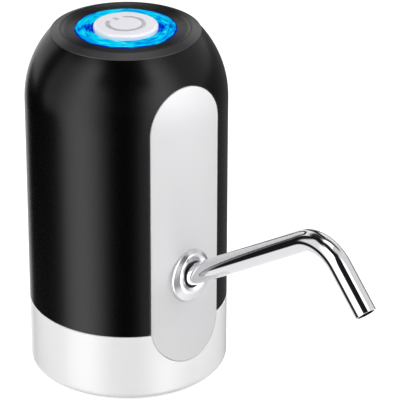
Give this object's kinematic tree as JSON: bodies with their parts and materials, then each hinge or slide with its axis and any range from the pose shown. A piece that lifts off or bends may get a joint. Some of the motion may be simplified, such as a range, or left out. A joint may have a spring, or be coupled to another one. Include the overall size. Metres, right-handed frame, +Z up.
{
  "type": "water bottle pump",
  "caption": "Rechargeable pump that stands on a large bottle's neck: domed black body, white base, silver front panel, lit push button on top and a bent steel spout that swivels.",
  "frame": {"origin": "on the body's axis at the foot of the base, in the mouth of the neck socket", "axes": "+Z up along the body's axis, -Y to the front, where the panel and the spout are, +X across"},
  "size_m": [0.072, 0.1662, 0.1309],
  "materials": {
    "shell_black": "moulded, satin gloss black",
    "base_white": "moulded, gloss white",
    "panel_silver": "silver-grey satin paint",
    "cap_charcoal": "moulded, satin charcoal",
    "ring_blue": "clear light guide lit blue",
    "button_white": "moulded, gloss white",
    "spout_steel": "polished stainless steel",
    "collar_chrome": "bright chrome",
    "seal_rubber": "soft black rubber",
    "silicone": "translucent silicone",
    "pump_plastic": "natural white moulding",
    "chassis_plastic": "grey moulding",
    "crank_plastic": "black moulding",
    "board_green": "glass fibre board with green lacquer",
    "chip_black": "moulded package",
    "lamp_resin": "clear resin",
    "steel": "zinc-plated steel",
    "brass": "plain brass",
    "magnet": "sintered ferrite",
    "core": "stacked sheet core with its winding",
    "cell": "can in a blue sleeve",
    "lead": "insulated lead"
  },
  "bodies": {
    "housing": {"outer_shell": "shell_black", "front_panel": "panel_silver", "base_skirt": "base_white", "top_cap": "cap_charcoal", "light_ring": "ring_blue", "switch_body": "steel", "lamps": "lamp_resin", "control_board": "board_green", "control_chip": "chip_black", "board_screws": "steel", "neck_seal": "seal_rubber", "intake_spigot": "pump_plastic", "intake_hose": "silicone", "chassis": "chassis_plastic", "chassis_screws": "steel", "pump_cover": "pump_plastic", "pump_screws": "steel", "valve_plate": "pump_plastic", "valve_discs": "silicone", "diaphragm": "seal_rubber", "drive_housing": "pump_plastic", "motor_can": "steel", "motor_end_cap": "crank_plastic", "motor_tags": "brass", "motor_bushes": "brass", "motor_magnets": "magnet", "battery_cell": "cell", "battery_tags": "steel", "charging_board": "board_green", "charging_screws": "steel", "charging_socket": "steel", "socket_tongue": "chip_black", "charging_chip": "chip_black", "spout_collar": "collar_chrome", "spout_socket": "pump_plastic", "outlet_hose": "silicone", "motor_leads": "lead", "cell_leads": "lead", "charging_leads": "lead"},
    "button": {"power_button": "button_white", "switch_plunger": "chip_black"},
    "spout_carrier": {"spout_rings": "seal_rubber"},
    "spout": {"spout_tube": "spout_steel"},
    "rotor": {"motor_shaft": "steel", "armature": "core", "commutator": "brass", "crank": "crank_plastic"},
    "wobble": {"wobble_plate": "pump_plastic", "wobble_pin": "steel"}
  },
  "joints": [
    {"name": "button_press", "type": "slide", "parent": "housing", "child": "button", "axis": [0, 0, -1], "range_m": [0, 0.0006], "stiffness_N_per_m": 800},
    {"name": "spout_pull", "type": "slide", "parent": "housing", "child": "spout_carrier", "axis": [0, -0.848, 0.5299], "range_m": [0, 0.022]},
    {"name": "spout_swivel", "type": "hinge", "parent": "spout_carrier", "child": "spout", "pos_m": [0, -0.0355, 0.0462], "axis": [0, -0.848, 0.5299], "continuous": true},
    {"name": "motor_spin", "type": "hinge", "parent": "housing", "child": "rotor", "pos_m": [0, 0.00835, 0.06164], "axis": [0, 0, 1], "continuous": true, "deforming": ["diaphragm"]},
    {"name": "wobble_turn", "type": "hinge", "parent": "rotor", "child": "wobble", "pos_m": [0, 0.00835, 0.04744], "axis": [0.1219, 0, 0.9925], "continuous": true}
  ],
  "couplings": [
    {"joint": "wobble_turn", "follows": "motor_spin", "ratio": -1}
  ]
}
